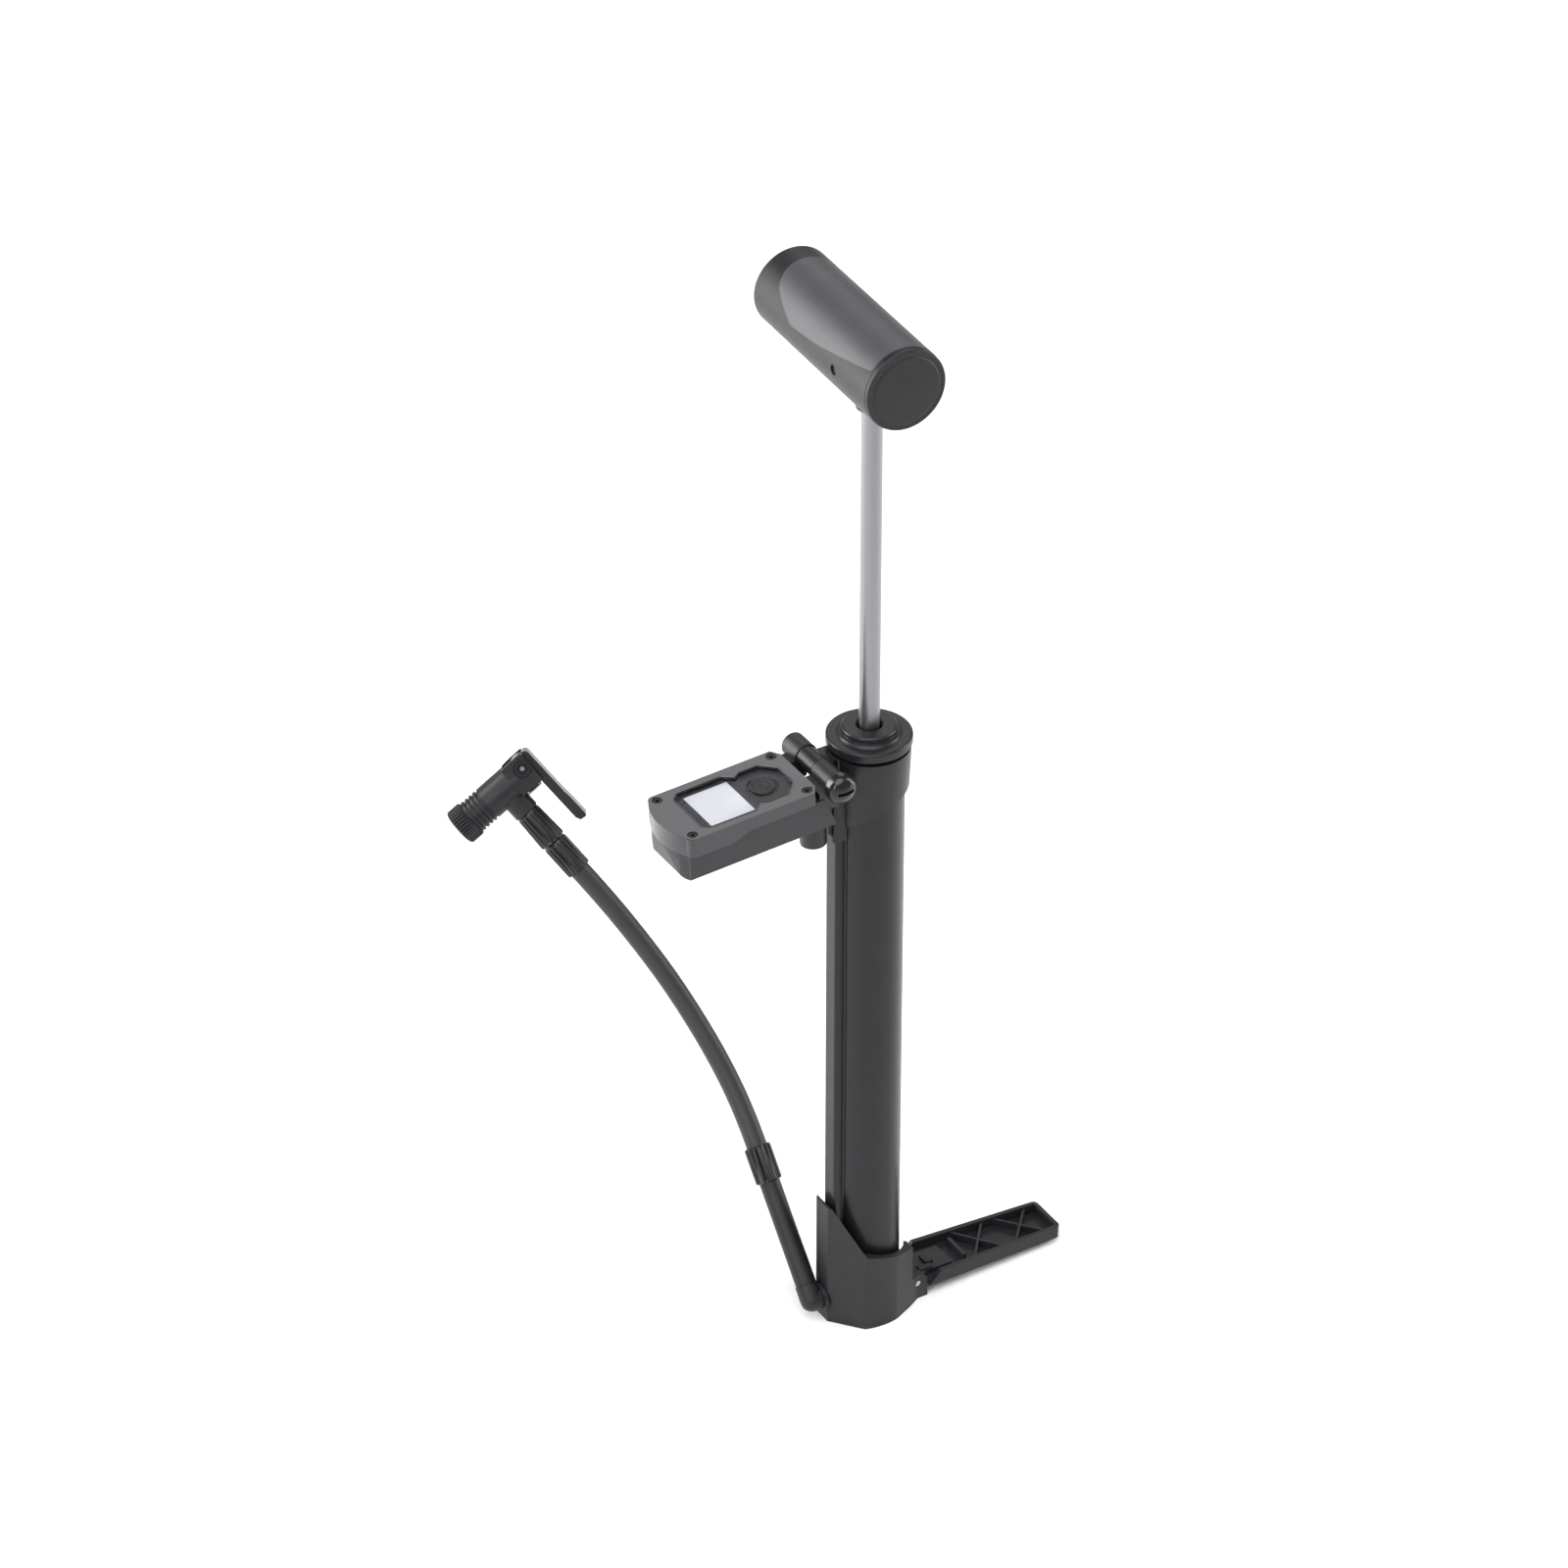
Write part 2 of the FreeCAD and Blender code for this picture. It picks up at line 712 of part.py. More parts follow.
def make_handle():
    radius = size["handle_radius"]
    far = size["handle_long"]
    near = -size["handle_short"]
    slot = size["handle_slot"]
    cap_joint = near + 2.6
    edge = 1.0
    core_stock = turned(
        "handle_stock",
        [
            (0, cap_joint),
            (radius, cap_joint),
            (radius, far - edge),
            (radius - edge, far, radius - edge * 0.29, far - edge * 0.29),
            (0, far),
        ],
    )
    core_stock.Placement = Placement(Vector(), TURNS["Y"])
    # the soft pad wraps the top: deep towards the far end, shallow towards the closed end
    sleeve = turned("pad_sleeve", [(15.0, -22.0), (radius, -22.0), (radius, 52.6), (15.0, 52.6)])
    sleeve.Placement = Placement(Vector(), TURNS["Y"])
    pad_side = plate(
        "pad_side",
        "YZ_Plane",
        [
            (-22.0, 18.0),
            (-22.0, 11.4),
            (-20.4, 9.6, -21.6, 10.1),
            (-4.7, 6.8),
            (15.0, 3.4),
            (31.0, 1.9),
            (34.5, 3.0, 33.0, 2.0),
            (44.7, 8.4),
            (49.0, 12.0, 47.3, 9.9),
            (52.0, 18.0, 51.0, 14.6),
        ],
        40.0,
        start=-20.0,
    )
    pad = common("pad_stock", sleeve, pad_side)
    slot_open = slot + 0.1
    hollows = [
        box("rod_slot", (-slot, 0, -20.0), (slot, far + 1, slot_open)),
        box("rod_slot_rest", (-slot, -slot_open, -20.0), (slot, 0.5, 0)),
        cylinder("rod_slot_round", slot_open, slot * 2, (-slot, 0, 0), "X"),
        cylinder("handle_store", 12.5, -9.0 - cap_joint, (0, cap_joint, 0), "Y"),
        cylinder("handle_pin_hole", size["handle_pin_radius"] + 0.02, 40.0, (-20.0, 0, 0), "X"),
        pad,
    ]
    keep("handle_core", cut("handle_core", core_stock, *hollows), HANDLE)
    soft_pad = doc.addObject("Part::Refine", "handle_grip")
    soft_pad.Source = pad
    keep("handle_grip", soft_pad, HANDLE)
    cap = turned(
        "handle_cap",
        [
            (0, near - 0.4),
            (12.6, near),
            (13.6, near + 0.5, 13.2, near + 0.1),
            (14.2, near + 0.5),
            (radius - 0.9, near + 0.3),
            (radius - 0.1, near + 1.1, radius - 0.35, near + 0.55),
            (radius - 0.1, cap_joint),
            (12.3, cap_joint),
            (12.3, cap_joint + 5.0),
            (10.6, cap_joint + 5.0),
            (10.6, cap_joint - 0.2),
            (0, cap_joint - 0.2),
        ],
    )
    cap.Placement = Placement(Vector(), TURNS["Y"])
    keep("handle_cap", cap, HANDLE)
    pin = cylinder("handle_pin", size["handle_pin_radius"], 31.0, (-15.5, 0, 0), "X")
    keep("handle_pin", pin, HANDLE)


# ---------------------------------------------------------------- digital gauge


def gauge_plan(name, rear, corner, front, half, low, height, bevel=4.0):
    """A block with the gauge's plan: straight sides, and a bowed front end."""
    curve = 2.4
    return plate(
        name,
        "XY_Plane",
        [
            (rear, -half + bevel),
            (rear - bevel * 0.6, -half),
            (corner + curve, -half),
            (corner - 0.3, curve - half, corner + curve * 0.2, curve * 0.3 - half),
            (corner - 0.3, half - curve, front, 0),
            (corner + curve, half, corner + curve * 0.2, half - curve * 0.3),
            (rear - bevel * 0.6, half),
            (rear, half - bevel),
        ],
        height,
        start=as_length(low).value,
    )


def make_gauge():
    rear = size["gauge_rear"]
    corner = size["gauge_corner"]
    front = size["gauge_front"]
    half = size["gauge_half"]
    top = size["gauge_top"]
    bottom = size["gauge_bottom"]
    # the cover's skirt is deep round the front half and shallow at the rear
    split = [(-75.0, -6.3), (-46.0, -6.3), (-39.0, -3.6), (10.0, -3.6)]
    above = plate("split_above", "XZ_Plane", [*split, (10.0, 8.0), (-75.0, 8.0)], 44.0, start=-22.0)
    below = plate("split_below", "XZ_Plane", [*split, (10.0, -40.0), (-75.0, -40.0)], 44.0, start=-22.0)

    cover_block = gauge_plan("cover_block", rear, corner, front, half, -7.0, top + 7.0)
    cover_well = gauge_plan(
        "cover_well", rear - 1.6, corner + 1.6, front + 1.6, half - 1.6, -8.0, top + 6.2, 1.6
    )
    window = plate(
        "window_way",
        "XY_Plane",
        [
            (-53.4, -12.4),
            (-34.5, -12.4),
            (-30.5, -9.2),
            (-28.0, -10.8),
            (-19.5, -10.8),
            (-14.2, -5.4),
            (-14.2, 5.4),
            (-19.5, 10.8),
            (-28.0, 10.8),
            (-30.5, 9.2),
            (-34.5, 12.4),
            (-53.4, 12.4),
            (-56.0, 9.8),
            (-56.0, -9.8),
        ],
        8.0,
        start=-3.0,
    )
    screw_spots = [(-61.6, -13.0), (-61.6, 13.0), (-12.4, -13.0), (-12.4, 13.0)]
    screw_ways = [
        cylinder(f"cover_screw_way_{i}", 0.95, 12.0, (*spot, -8.0)) for i, spot in enumerate(screw_spots)
    ]
    screw_wells = [
        cylinder(f"cover_screw_well_{i}", 2.0, 2.0, (*spot, 0.7)) for i, spot in enumerate(screw_spots)
    ]
    cover = cut(
        "gauge_cover",
        common("cover_stock", cover_block, above),
        cover_well,
        window,
        *screw_ways,
        *screw_wells,
    )
    keep("gauge_cover", cover, GAUGE)

    # lower shell, drafted, with the fork of the hinge and the sensor boss
    case_block = gauge_plan(
        "case_block", rear, corner + 0.4, front + 0.4, half - 0.4, bottom - 1.0, 17.0
    )
    draft = plate(
        "case_draft",
        "YZ_Plane",
        [(-16.0, -2.0), (-14.9, bottom + 1.2), (-13.6, bottom, -14.5, bottom + 0.3),
         (13.6, bottom), (14.9, bottom + 1.2, 14.5, bottom + 0.3), (16.0, -2.0)],
        80.0,
        start=-78.0,
    )
    wedge_profile = [
        (-69.5, -2.0),
        (-66.4, bottom + 1.5),
        (-64.8, bottom, -65.8, bottom + 0.4),
        (-1.2, bottom),
        (-7.0, -2.0),
    ]
    wedge = plate("case_wedge", "XZ_Plane", wedge_profile, 44.0, start=-22.0)
    rear_block = box("case_rear", (-14.0, -15.4, bottom), (0.0, 15.4, -3.6))
    body = join("case_body", case_block, rear_block)
    shell = common("case_drafted", common("case_wedged", body, wedge), draft)
    well = box("case_well", (-62.5, -14.0, bottom + 1.7), (-11.0, 14.0, 3.0))
    near_arm = join(
        "near_arm",
        cylinder("near_knuckle", 4.6, 12.6, (0, -15.0, 0), "Y"),
        box("near_web", (-8.3, -15.0, -9.0), (0, -2.4, -0.5)),
    )
    far_knuckle = turned(
        "far_knuckle", [(0, 8.4), (4.9, 8.4), (4.9, 17.6), (3.4, 19.1, 4.46, 18.66), (0, 19.1)]
    )
    far_knuckle.Placement = Placement(Vector(), TURNS["Y"])
    far_web = box("far_web", (-8.3, 8.4, -9.0), (0, 15.0, -0.5))
    boss = cylinder("sensor_boss", 5.2, 24.5, (-4.0, -1.0, bottom - 15.0))
    boss_well = cylinder("sensor_well", 3.9, 11.4, (-4.0, -1.0, bottom - 13.4))
    clearance = cylinder("knuckle_clearance", 5.1, 10.8, (0, -2.4, 0), "Y")
    bolt_way = cylinder("case_bolt_way", 1.9 + SEAT, 33.0, (0, -16.0, 0), "Y")
    posts = [
        cylinder(f"screw_post_{i}", 1.3, -1.2 - bottom, (*spot, bottom + 1.0))
        for i, spot in enumerate(screw_spots)
    ]
    battery_way = cylinder("battery_way", 11.2, 4.0, (-45.0, 0, bottom - 1.0))
    case = cut(
        "gauge_case",
        join(
            "case_stock",
            cut("case_shell", common("case_trimmed", shell, below), well),
            near_arm,
            far_knuckle,
            far_web,
            boss,
            *posts,
        ),
        boss_well,
        clearance,
        bolt_way,
        battery_way,
        *[cylinder(f"case_thread_{i}", 0.9, 12.0, (*spot, -11.0)) for i, spot in enumerate(screw_spots)],
    )
    keep("gauge_case", case, GAUGE)

    lens = cut(
        "gauge_lens",
        plate(
            "lens_plate",
            "XY_Plane",
            [
                (-53.3, -12.3),
                (-34.5, -12.3),
                (-30.5, -9.1),
                (-28.0, -10.7),
                (-19.6, -10.7),
                (-14.3, -5.3),
                (-14.3, 5.3),
                (-19.6, 10.7),
                (-28.0, 10.7),
                (-30.5, 9.1),
                (-34.5, 12.3),
                (-53.3, 12.3),
                (-55.9, 9.7),
                (-55.9, -9.7),
            ],
            1.0,
            start=0.1,
        ),
        cylinder("button_way", 5.2, 4.0, (-24.0, 0, -1.0)),
    )
    keep("gauge_lens", lens, GAUGE)
    keep("gauge_display", box("gauge_display", (-52.0, -10.6, -1.5), (-33.4, 10.6, 0.05)), GAUGE)
    button = turned(
        "gauge_button",
        [(0, -1.1), (6.0, -1.1), (6.0, -0.3), (5.0, -0.3), (5.0, 1.2), (4.4, 1.5), (0, 1.5)],
    )
    button.Placement = Placement(Vector(-24.0, 0, 0), Rotation())
    keep("gauge_button", button, GAUGE)
    keep("button_switch", box("button_switch", (-26.5, -2.5, -3.4), (-21.5, 2.5, -2.1)), GAUGE)
    keep("gauge_board", box("gauge_board", (-58.0, -10.9, -4.6), (-14.3, 10.9, -3.4)), GAUGE)
    keep("gauge_battery", cylinder("gauge_battery", 10.0, 3.2, (-45.0, 0, -14.6)), GAUGE)
    lid = cut(
        "battery_cover",
        join(
            "battery_lid_stock",
            cylinder("battery_lid", 11.15, 1.9, (-45.0, 0, bottom)),
            cylinder("battery_lid_land", 10.3, 0.9, (-45.0, 0, bottom + 1.9)),
        ),
        box("coin_slot", (-50.5, -0.9, bottom - 1.0), (-39.5, 0.9, bottom + 0.9)),
    )
    keep("battery_cover", lid, GAUGE)
    keep("pressure_sensor", cylinder("pressure_sensor", 3.8, 5.0, (-4.0, -1.0, bottom - 12.0)), GAUGE)
    screws = []
    for i, spot in enumerate(screw_spots):
        head = cylinder(f"gauge_screw_head_{i}", 1.8, 0.9, (*spot, 0.75))
        shank = cylinder(f"gauge_screw_shank_{i}", 0.85, 10.0, (*spot, -9.2))
        socket = cylinder(f"gauge_screw_socket_{i}", 0.8, 0.7, (*spot, 1.0))
        screws.append(cut(f"gauge_screw_{i}", join(f"gauge_screw_stock_{i}", head, shank), socket))
    keep("gauge_screws", group("gauge_screws", *screws), GAUGE)

    bolt = turned(
        "hinge_bolt_stock",
        [(0, -21.3), (3.6, -20.4, 1.9, -21.1), (6.0, -17.4, 5.3, -19.1), (6.0, -15.1), (1.9, -15.1),
         (1.9, 16.8), (0, 16.8)],
    )
    bolt.Placement = Placement(Vector(), TURNS["Y"])
    bolt_slot = box("bolt_slot", (-3.4, -22.0, -0.7), (3.4, -19.2, 0.7))
    keep("hinge_bolt", cut("hinge_bolt", bolt, bolt_slot), GAUGE)


# ---------------------------------------------------------------- swivel elbow and hose


def make_elbow():
    z = size["elbow_z"]
    x = size["elbow_x"]
    stock = join(
        "elbow_stock",
        cylinder("elbow_spigot", 3.6 - RUNNING, 12.0, (-20.2, 0, z), "X"),
        cylinder("elbow_flange", 6.25, 1.4, (-21.4, 0, z), "X"),
        cylinder("elbow_stub", 4.6, 3.2, (x, 0, z), "X"),
        ball("elbow_corner", 4.6, (x, 0, z)),
        cylinder("elbow_neck", 4.6, 6.6, (x, 0, z)),
    )
    grooves = [
        turned(f"elbow_groove_{i}", [(inner, low), (5.0, low), (5.0, high), (inner, high)])
        for i, (inner, low, high) in enumerate(
            ((2.5, -17.6, -16.3), (2.7, -15.7, -13.5), (2.5, -12.8, -11.5), (2.7, -10.2, -9.2))
        )
    ]
    for groove in grooves:
        groove.Placement = Placement(Vector(0, 0, plain("elbow_z")), TURNS["X"])
    bores = [
        cylinder("elbow_bore", 1.5, 16.0, (x, 0, z), "X"),
        cylinder("elbow_rise", 1.5, 12.0, (x, 0, z)),
        cylinder("elbow_port", 0.9, 4.0, (-14.6, 0, z)),
        cylinder("pipe_socket", size["hose_radius"] - 0.9, 6.0, (x, 0, z + 2.6)),
    ]
    keep("swivel_elbow", cut("swivel_elbow", stock, *grooves, *bores), SWIVEL)
    seals = [ring(f"elbow_seal_{i}", 3.02, 0.5, (at, 0, z), "X") for i, at in enumerate((-16.95, -12.15))]
    keep("elbow_seals", group("elbow_seals", *seals), SWIVEL)
    clip = cut(
        "elbow_clip",
        cylinder("clip_disc", 4.2, 0.8, (-10.1, 0, z), "X"),
        cylinder("clip_hole", 2.8, 0.8, (-10.1, 0, z), "X"),
        box("clip_gap", (-10.5, -2.2, 4.0), (-9.0, 2.2, z)),
    )
    keep("elbow_clip", clip)
    start = size["coupler_start"]
    end = size["coupler_end"]
    pipe = cut(
        "riser_pipe",
        join(
            "riser_stock",
            cylinder("riser_outside", size["hose_radius"], end - z - 6.6, (x, 0, z + 6.6)),
            cylinder("riser_spigot", size["hose_radius"] - 0.95, 4.2, (x, 0, z + 2.6)),
        ),
        cylinder("riser_bore", 2.2, end - z, (x, 0, z)),
    )
    keep("riser_pipe", pipe, SWIVEL)
    sleeve = cut(
        "hose_coupler",
        cylinder("coupler_outside", 5.4, end - start, (x, 0, start)),
        cylinder("coupler_bore", size["hose_radius"] + SEAT, end - start, (x, 0, start)),
    )
    keep("hose_coupler", sleeve, SWIVEL)


def rounded_path(points):
    """Straight runs joined by tangent arcs, each as large as its two runs allow."""
    edges = []
    last = points[0]
    for before, corner, after in zip(points, points[1:], points[2:]):
        into = corner.sub(before)
        out = after.sub(corner)
        turn = into.getAngle(out)
        back = 0.45 * min(into.Length, out.Length)
        radius = back / math.tan(turn / 2)
        start = corner - into.normalize() * back
        end = corner + out.normalize() * back
        inward = (start + end) * 0.5 - corner
        middle = corner + inward.normalize() * (radius / math.cos(turn / 2) - radius)
        edges.append(Part.LineSegment(last, start).toShape())
        edges.append(Part.Arc(start, middle, end).toShape())
        last = end
        print(f"hose bend radius {radius:.0f} mm, turn {math.degrees(turn):.1f} degrees")
    edges.append(Part.LineSegment(last, points[-1]).toShape())
    return Part.Wire(edges)


def make_hose():
    path = rounded_path([Vector(x, 0, z) for x, z in HOSE_POINTS])
    first = Vector(HOSE_POINTS[1][0] - HOSE_POINTS[0][0], 0, HOSE_POINTS[1][1] - HOSE_POINTS[0][1])
    start = Vector(HOSE_POINTS[0][0], 0, HOSE_POINTS[0][1])
    section = Part.Wire(Part.makeCircle(plain("hose_radius"), start, first))
    tube = doc.addObject("Part::Feature", "hose")
    tube.Shape = path.makePipeShell([section], True, False)
    area = math.pi * plain("hose_radius") ** 2
    print(f"hose length {path.Length:.1f} mm, volume ratio {tube.Shape.Volume / (area * path.Length):.4f}")
    keep("air_hose", tube, SWIVEL)


# ---------------------------------------------------------------- valve head


def head_turned(name, points):
    """A piece turned about the valve head's own axis, drawn as (radius, distance to the lever side)."""
    thing = turned(name, points)
    thing.Placement = Placement(Vector(0, 0, plain("head_axis")), TURNS["X"])
    return thing


def make_valve_head():
    axis = size["head_axis"]
    outer = size["head_radius"]
    pin_x = size["lever_pin_x"]
    pin_z = size["lever_pin_z"]
    ferrule = cut(
        "hose_ferrule",
        cylinder("ferrule_outside", 5.3, 15.2, (0, 0, 0)),
        cylinder("ferrule_bore", 2.8 + SEAT, 12.0, (0, 0, 3.4)),
        cylinder("ferrule_way", 1.5, 4.0, (0, 0, -0.2)),
    )
    keep("hose_ferrule", ferrule, SWIVEL, HOSE_END, HEAD_TURN)
    nipple = turned("head_nipple", [(1.5, 3.5), (2.8, 3.5), (2.8, 35.0), (1.5, 35.0)])
    keep("head_nipple", nipple, SWIVEL, HOSE_END, HEAD_TURN)
    nut = turned(
        "swivel_nut", [(2.8 + RUNNING, 15.5), (5.6, 15.5), (5.0, 31.0), (2.8 + RUNNING, 31.0)]
    )
    keep("swivel_nut", nut, SWIVEL, HOSE_END, HEAD_TURN)

    ridges = [(0, -21.3), (6.8, -21.3), (6.8, -17.5), (6.5, -17.5)]
    for step in range(4):
        low = -17.3 + step * 1.95
        ridges += [(6.5, low), (7.2, low + 0.3), (7.2, low + 1.0), (6.5, low + 1.3)]
    ridges += [(6.5, -9.5), (outer, -9.0), (outer, 13.6), (outer - 0.6, 14.2), (0, 14.2)]
    barrel = head_turned("head_stock", ridges)
    neck = cylinder("head_neck", 5.3, 10.0, (0, 0, 31.2))
    eye_ring = cylinder("eye_ring", 3.8, 14.8, (pin_x, -7.4, pin_z), "Y")
    yoke = box("yoke", (4.0, -6.9, 37.4), (14.2, 6.9, 51.0))
    yoke_slope = plate(
        "yoke_slope",
        "XZ_Plane",
        [(2.0, 37.4), (14.2, 37.4), (14.2, 51.0), (9.0, 51.0), (2.0, 50.6)],
        16.0,
        start=-8.0,
    )
    lever_slot = cylinder("lever_slot", 7.9, 9.6, (pin_x, -4.8, pin_z), "Y")
    slot_mouth = box("slot_mouth", (pin_x, -4.8, 35.0), (16.0, 4.8, 54.0))
    gland_bore = head_turned("gland_bore", [(0, -21.9), (5.9, -21.9), (5.9, -13.4), (0, -13.4)])
    plunger_bore = head_turned("plunger_bore", [(0, -13.9), (3.2, -13.9), (3.2, 6.0), (0, 6.0)])
    air_way = cylinder("neck_bore", 2.8 + RUNNING, 4.4, (0, 0, 31.0))
    rise = cylinder("neck_rise", 1.5, 8.0, (0, 0, 35.0))
    pin_hole = cylinder("lever_pin_hole", 1.5 + 0.02, 16.0, (pin_x, -8.0, pin_z), "Y")
    head = cut(
        "head_body",
        join("head_body_stock", barrel, neck, eye_ring, common("yoke_cheeks", yoke, yoke_slope)),
        lever_slot,
        slot_mouth,
        gland_bore,
        plunger_bore,
        air_way,
        rise,
        pin_hole,
    )
    keep("head_body", head, SWIVEL, HOSE_END, HEAD_TURN)

    cap = head_turned(
        "valve_cap",
        [(4.3, -24.3), (7.4, -24.3), (7.8, -23.8), (7.8, -18.1), (7.4, -17.7), (6.85, -17.7),
         (6.85, -21.9), (4.3, -21.9)],
    )
    keep("valve_cap", cap, SWIVEL, HOSE_END, HEAD_TURN)
    gland = head_turned("valve_gland", [(3.95, -21.8), (5.84, -21.8), (5.84, -13.5), (3.95, -13.5)])
    keep("valve_gland", gland, SWIVEL, HOSE_END, HEAD_TURN)
    plunger = head_turned("valve_plunger", [(0, -13.3), (3.15, -13.3), (3.15, 3.5), (0, 3.5)])
    keep("valve_plunger", plunger, SWIVEL, HOSE_END, HEAD_TURN)

    arm = plate(
        "lever_arm",
        "XZ_Plane",
        [
            (14.5, 40.5),
            (13.2, 38.6),
            (13.4, 17.2),
            (14.3, 15.2),
            (16.4, 14.8),
            (17.4, 16.2, 17.2, 15.2),
            (17.3, 25.0),
            (17.0, 28.0),
            (16.9, 48.6),
            (14.5, 50.6, 16.2, 50.2),
        ],
        9.0,
        start=-4.5,
    )
    hub = cylinder("lever_hub", 5.0, 9.0, (pin_x, -4.5, pin_z), "Y")
    web = box("lever_web", (pin_x, -4.5, 42.0), (15.0, 4.5, 50.0))
    lobe = join(
        "lever_lobe",
        box("lobe_web", (pin_x - 5.4, -3.0, pin_z - 1.5), (pin_x, 3.0, pin_z + 1.5)),
        cylinder("lobe_tip", 1.5, 6.0, (pin_x - 5.4, -3.0, pin_z), "Y"),
    )
    underside = box("lever_channel", (12.0, -3.3, 19.0), (15.6, 3.3, 38.0))
    lever_bore = cylinder("lever_bore", 1.5 + RUNNING, 12.0, (pin_x, -6.0, pin_z), "Y")
    lever = cut("lock_lever", join("lever_stock", arm, hub, web, lobe), underside, lever_bore)
    keep("lock_lever", lever, SWIVEL, HOSE_END, HEAD_TURN)
    pin = cylinder("lever_pin", 1.5, 14.0, (pin_x, -7.0, pin_z), "Y")
    keep("lever_pin", pin, SWIVEL, HOSE_END, HEAD_TURN)
    legs = [
        cylinder(f"clip_leg_{i}", 0.45, 0.9, (at, side, 36.0))
        for i, (at, side) in enumerate(((6.2, -2.0), (6.2, 2.0), (11.6, -2.0), (11.6, 2.0)))
    ]
    wires = [cylinder(f"clip_wire_{side}", 0.45, 6.4, (5.7, side, 36.0), "X") for side in (-2, 2)]
    bridge = cylinder("clip_bridge", 0.45, 4.0, (5.9, -2.0, 36.0), "Y")
    keep("spring_clip", join("spring_clip", bridge, *wires, *legs), SWIVEL, HOSE_END, HEAD_TURN)


# ---------------------------------------------------------------- build, check and write

make_barrel()
make_valve_block()
make_top_cap()
make_bracket()
make_base()
make_pedal()
make_rod()
make_handle()
make_gauge()
make_elbow()
make_hose()
make_valve_head()
doc.recompute()

for thing in doc.Objects:
    if "Invalid" in thing.State or "Error" in thing.State:
        raise RuntimeError(f"{thing.Name} did not compute: {thing.State}")
os.makedirs("parts", exist_ok=True)
for thing in nodes:
    shape = thing.Shape
    if shape.isNull() or not shape.isValid():
        raise RuntimeError(f"{thing.Label} has no valid shape")
for thing in nodes:
    thing.Shape.exportStep(f"parts/{thing.Label}.step")
print(f"{len(nodes)} nodes written")
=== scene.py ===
import json
import math

import bmesh
import bpy
from mathutils import Matrix, Vector


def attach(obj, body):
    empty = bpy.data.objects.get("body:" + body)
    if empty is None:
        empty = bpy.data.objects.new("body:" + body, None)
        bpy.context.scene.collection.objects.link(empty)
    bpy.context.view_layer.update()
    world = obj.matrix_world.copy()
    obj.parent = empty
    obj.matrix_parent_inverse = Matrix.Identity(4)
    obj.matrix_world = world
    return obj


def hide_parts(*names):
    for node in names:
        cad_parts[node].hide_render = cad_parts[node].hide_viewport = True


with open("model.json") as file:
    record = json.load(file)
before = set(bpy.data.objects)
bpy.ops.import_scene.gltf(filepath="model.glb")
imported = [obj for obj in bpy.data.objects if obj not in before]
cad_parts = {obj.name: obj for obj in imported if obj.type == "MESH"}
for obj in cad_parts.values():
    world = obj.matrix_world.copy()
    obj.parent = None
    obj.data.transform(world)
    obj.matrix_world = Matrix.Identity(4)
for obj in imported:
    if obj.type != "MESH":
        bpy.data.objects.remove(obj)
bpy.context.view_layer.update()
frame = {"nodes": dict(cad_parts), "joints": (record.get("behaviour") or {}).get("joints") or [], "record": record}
nodes = frame["nodes"]
record = frame["record"]
joints = {joint["name"]: joint for joint in frame["joints"]}
body_names = {node: body for body, names in record["behaviour"]["bodies"].items() for node in names}
slots = {entry["node"]: entry["material_slot"] for entry in record["subparts"]}

MM = 0.001


# ---------------------------------------------------------------- camera

camera_data = bpy.data.cameras.new("camera")
camera_data.lens = 142.65
camera_data.sensor_width = 36.0
camera_data.clip_end = 20.0
camera = bpy.data.objects.new("camera", camera_data)
camera.location = Vector((-1.0234, -1.6412, 1.5610))
view_direction = Vector((0.4261, 0.7091, -0.5616))
camera.rotation_euler = view_direction.to_track_quat("-Z", "Y").to_euler()
bpy.context.scene.collection.objects.link(camera)
bpy.context.scene.camera = camera


# ---------------------------------------------------------------- materials


